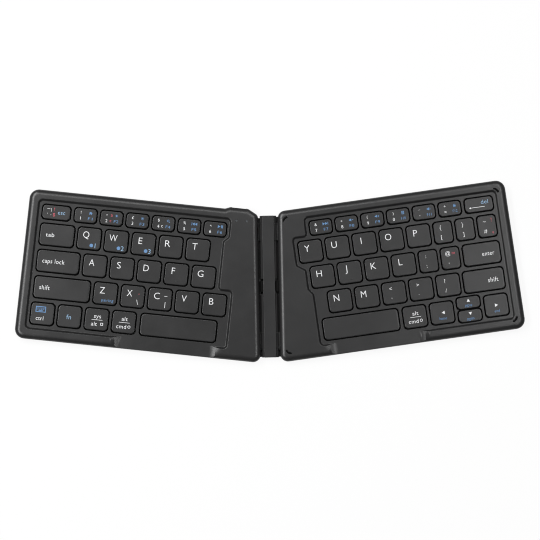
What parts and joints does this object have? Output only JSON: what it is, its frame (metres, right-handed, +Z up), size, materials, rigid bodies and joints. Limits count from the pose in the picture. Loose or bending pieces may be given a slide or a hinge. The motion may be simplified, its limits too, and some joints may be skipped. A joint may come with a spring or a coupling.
{
  "type": "folding keyboard",
  "caption": "Pocket keyboard in two splayed halves that fold shut like a book on a double-pinned spine, with low keys in a sunk deck.",
  "frame": {"origin": "middle of the footprint at desk level, open and flat", "axes": "+X to the right half, +Y to the rear edge, +Z up out of the key tops"},
  "size_m": [0.2982, 0.1038, 0.0071],
  "materials": {
    "case": "fine matte grain",
    "keycap": "satin",
    "rubber": "matte",
    "steel": "plain",
    "magnet": "nickel plated",
    "membrane": "film",
    "silicone": "satin",
    "circuit_board": "solder mask",
    "flex_cable": "film",
    "battery": "foil",
    "link_plastic": "moulded",
    "light_pipe": "clear"
  },
  "bodies": {
    "left_half": {"left_bottom_cover": "case", "left_top_case": "case", "left_support_plate": "steel", "left_membrane": "membrane", "left_dome_sheet": "silicone", "left_scissor_links": "link_plastic", "left_feet": "rubber", "left_screws": "steel", "left_magnets": "magnet", "left_hinge_pins": "steel", "main_board": "circuit_board", "charge_port": "steel", "indicator_lights": "light_pipe"},
    "spine": {"hinge_spine": "case", "spine_cover": "case", "flex_cable": "flex_cable"},
    "right_half": {"right_bottom_cover": "case", "right_top_case": "case", "right_support_plate": "steel", "right_membrane": "membrane", "right_dome_sheet": "silicone", "right_scissor_links": "link_plastic", "right_feet": "rubber", "right_screws": "steel", "right_magnets": "magnet", "right_hinge_pins": "steel", "battery": "battery", "junction_board": "circuit_board", "corner_bumpers": "rubber"},
    "left_number_keys": {"left_number_keys": "keycap"},
    "left_escape_key": {"left_escape_key": "keycap"},
    "left_top_letter_keys": {"left_top_letter_keys": "keycap"},
    "left_tab_key": {"left_tab_key": "keycap"},
    "left_home_letter_keys": {"left_home_letter_keys": "keycap"},
    "left_caps_key": {"left_caps_key": "keycap"},
    "left_lower_letter_keys": {"left_lower_letter_keys": "keycap"},
    "left_shift_key": {"left_shift_key": "keycap"},
    "left_space_key": {"left_space_key": "keycap"},
    "left_alt_key": {"left_alt_key": "keycap"},
    "left_system_key": {"left_system_key": "keycap"},
    "left_function_key": {"left_function_key": "keycap"},
    "left_control_key": {"left_control_key": "keycap"},
    "right_number_keys": {"right_number_keys": "keycap"},
    "right_delete_key": {"right_delete_key": "keycap"},
    "right_top_letter_keys": {"right_top_letter_keys": "keycap"},
    "right_open_bracket_key": {"right_open_bracket_key": "keycap"},
    "right_close_bracket_key": {"right_close_bracket_key": "keycap"},
    "right_hash_key": {"right_hash_key": "keycap"},
    "right_home_letter_keys": {"right_home_letter_keys": "keycap"},
    "right_semicolon_key": {"right_semicolon_key": "keycap"},
    "right_quote_key": {"right_quote_key": "keycap"},
    "right_enter_key": {"right_enter_key": "keycap"},
    "right_lower_letter_keys": {"right_lower_letter_keys": "keycap"},
    "right_shift_key": {"right_shift_key": "keycap"},
    "right_space_key": {"right_space_key": "keycap"},
    "right_alt_key": {"right_alt_key": "keycap"},
    "right_left_arrow_key": {"right_left_arrow_key": "keycap"},
    "right_up_arrow_key": {"right_up_arrow_key": "keycap"},
    "right_down_arrow_key": {"right_down_arrow_key": "keycap"},
    "right_right_arrow_key": {"right_right_arrow_key": "keycap"}
  },
  "joints": [
    {"name": "left_hinge", "type": "hinge", "parent": "left_half", "child": "spine", "pos_m": [-0.00385, 0, 0.0034], "axis": [0, -1, 0], "range_deg": [0, 90], "deforming": ["flex_cable"]},
    {"name": "right_hinge", "type": "hinge", "parent": "spine", "child": "right_half", "pos_m": [0.00385, 0, 0.0034], "axis": [0, -1, 0], "range_deg": [0, 90]},
    {"name": "left_number_keys_press", "type": "slide", "parent": "left_half", "child": "left_number_keys", "axis": [0, 0, -1], "range_m": [0, 0.0014], "stiffness_N_per_m": 400, "springref_m": -0.0005, "deforming": ["left_dome_sheet", "left_scissor_links"]},
    {"name": "left_escape_key_press", "type": "slide", "parent": "left_half", "child": "left_escape_key", "axis": [0, 0, -1], "range_m": [0, 0.0014], "stiffness_N_per_m": 400, "springref_m": -0.0005},
    {"name": "left_top_letter_keys_press", "type": "slide", "parent": "left_half", "child": "left_top_letter_keys", "axis": [0, 0, -1], "range_m": [0, 0.0014], "stiffness_N_per_m": 400, "springref_m": -0.0005},
    {"name": "left_tab_key_press", "type": "slide", "parent": "left_half", "child": "left_tab_key", "axis": [0, 0, -1], "range_m": [0, 0.0014], "stiffness_N_per_m": 400, "springref_m": -0.0005},
    {"name": "left_home_letter_keys_press", "type": "slide", "parent": "left_half", "child": "left_home_letter_keys", "axis": [0, 0, -1], "range_m": [0, 0.0014], "stiffness_N_per_m": 400, "springref_m": -0.0005},
    {"name": "left_caps_key_press", "type": "slide", "parent": "left_half", "child": "left_caps_key", "axis": [0, 0, -1], "range_m": [0, 0.0014], "stiffness_N_per_m": 400, "springref_m": -0.0005},
    {"name": "left_lower_letter_keys_press", "type": "slide", "parent": "left_half", "child": "left_lower_letter_keys", "axis": [0, 0, -1], "range_m": [0, 0.0014], "stiffness_N_per_m": 400, "springref_m": -0.0005},
    {"name": "left_shift_key_press", "type": "slide", "parent": "left_half", "child": "left_shift_key", "axis": [0, 0, -1], "range_m": [0, 0.0014], "stiffness_N_per_m": 400, "springref_m": -0.0005},
    {"name": "left_space_key_press", "type": "slide", "parent": "left_half", "child": "left_space_key", "axis": [0, 0, -1], "range_m": [0, 0.0014], "stiffness_N_per_m": 400, "springref_m": -0.0005},
    {"name": "left_alt_key_press", "type": "slide", "parent": "left_half", "child": "left_alt_key", "axis": [0, 0, -1], "range_m": [0, 0.0014], "stiffness_N_per_m": 400, "springref_m": -0.0005},
    {"name": "left_system_key_press", "type": "slide", "parent": "left_half", "child": "left_system_key", "axis": [0, 0, -1], "range_m": [0, 0.0014], "stiffness_N_per_m": 400, "springref_m": -0.0005},
    {"name": "left_function_key_press", "type": "slide", "parent": "left_half", "child": "left_function_key", "axis": [0, 0, -1], "range_m": [0, 0.0014], "stiffness_N_per_m": 400, "springref_m": -0.0005},
    {"name": "left_control_key_press", "type": "slide", "parent": "left_half", "child": "left_control_key", "axis": [0, 0, -1], "range_m": [0, 0.0014], "stiffness_N_per_m": 400, "springref_m": -0.0005},
    {"name": "right_number_keys_press", "type": "slide", "parent": "right_half", "child": "right_number_keys", "axis": [0, 0, -1], "range_m": [0, 0.0014], "stiffness_N_per_m": 400, "springref_m": -0.0005, "deforming": ["right_dome_sheet", "right_scissor_links"]},
    {"name": "right_delete_key_press", "type": "slide", "parent": "right_half", "child": "right_delete_key", "axis": [0, 0, -1], "range_m": [0, 0.0014], "stiffness_N_per_m": 400, "springref_m": -0.0005},
    {"name": "right_top_letter_keys_press", "type": "slide", "parent": "right_half", "child": "right_top_letter_keys", "axis": [0, 0, -1], "range_m": [0, 0.0014], "stiffness_N_per_m": 400, "springref_m": -0.0005},
    {"name": "right_open_bracket_key_press", "type": "slide", "parent": "right_half", "child": "right_open_bracket_key", "axis": [0, 0, -1], "range_m": [0, 0.0014], "stiffness_N_per_m": 400, "springref_m": -0.0005},
    {"name": "right_close_bracket_key_press", "type": "slide", "parent": "right_half", "child": "right_close_bracket_key", "axis": [0, 0, -1], "range_m": [0, 0.0014], "stiffness_N_per_m": 400, "springref_m": -0.0005},
    {"name": "right_hash_key_press", "type": "slide", "parent": "right_half", "child": "right_hash_key", "axis": [0, 0, -1], "range_m": [0, 0.0014], "stiffness_N_per_m": 400, "springref_m": -0.0005},
    {"name": "right_home_letter_keys_press", "type": "slide", "parent": "right_half", "child": "right_home_letter_keys", "axis": [0, 0, -1], "range_m": [0, 0.0014], "stiffness_N_per_m": 400, "springref_m": -0.0005},
    {"name": "right_semicolon_key_press", "type": "slide", "parent": "right_half", "child": "right_semicolon_key", "axis": [0, 0, -1], "range_m": [0, 0.0014], "stiffness_N_per_m": 400, "springref_m": -0.0005},
    {"name": "right_quote_key_press", "type": "slide", "parent": "right_half", "child": "right_quote_key", "axis": [0, 0, -1], "range_m": [0, 0.0014], "stiffness_N_per_m": 400, "springref_m": -0.0005},
    {"name": "right_enter_key_press", "type": "slide", "parent": "right_half", "child": "right_enter_key", "axis": [0, 0, -1], "range_m": [0, 0.0014], "stiffness_N_per_m": 400, "springref_m": -0.0005},
    {"name": "right_lower_letter_keys_press", "type": "slide", "parent": "right_half", "child": "right_lower_letter_keys", "axis": [0, 0, -1], "range_m": [0, 0.0014], "stiffness_N_per_m": 400, "springref_m": -0.0005},
    {"name": "right_shift_key_press", "type": "slide", "parent": "right_half", "child": "right_shift_key", "axis": [0, 0, -1], "range_m": [0, 0.0014], "stiffness_N_per_m": 400, "springref_m": -0.0005},
    {"name": "right_space_key_press", "type": "slide", "parent": "right_half", "child": "right_space_key", "axis": [0, 0, -1], "range_m": [0, 0.0014], "stiffness_N_per_m": 400, "springref_m": -0.0005},
    {"name": "right_alt_key_press", "type": "slide", "parent": "right_half", "child": "right_alt_key", "axis": [0, 0, -1], "range_m": [0, 0.0014], "stiffness_N_per_m": 400, "springref_m": -0.0005},
    {"name": "right_left_arrow_key_press", "type": "slide", "parent": "right_half", "child": "right_left_arrow_key", "axis": [0, 0, -1], "range_m": [0, 0.0014], "stiffness_N_per_m": 400, "springref_m": -0.0005},
    {"name": "right_up_arrow_key_press", "type": "slide", "parent": "right_half", "child": "right_up_arrow_key", "axis": [0, 0, -1], "range_m": [0, 0.0014], "stiffness_N_per_m": 400, "springref_m": -0.0005},
    {"name": "right_down_arrow_key_press", "type": "slide", "parent": "right_half", "child": "right_down_arrow_key", "axis": [0, 0, -1], "range_m": [0, 0.0014], "stiffness_N_per_m": 400, "springref_m": -0.0005},
    {"name": "right_right_arrow_key_press", "type": "slide", "parent": "right_half", "child": "right_right_arrow_key", "axis": [0, 0, -1], "range_m": [0, 0.0014], "stiffness_N_per_m": 400, "springref_m": -0.0005}
  ]
}
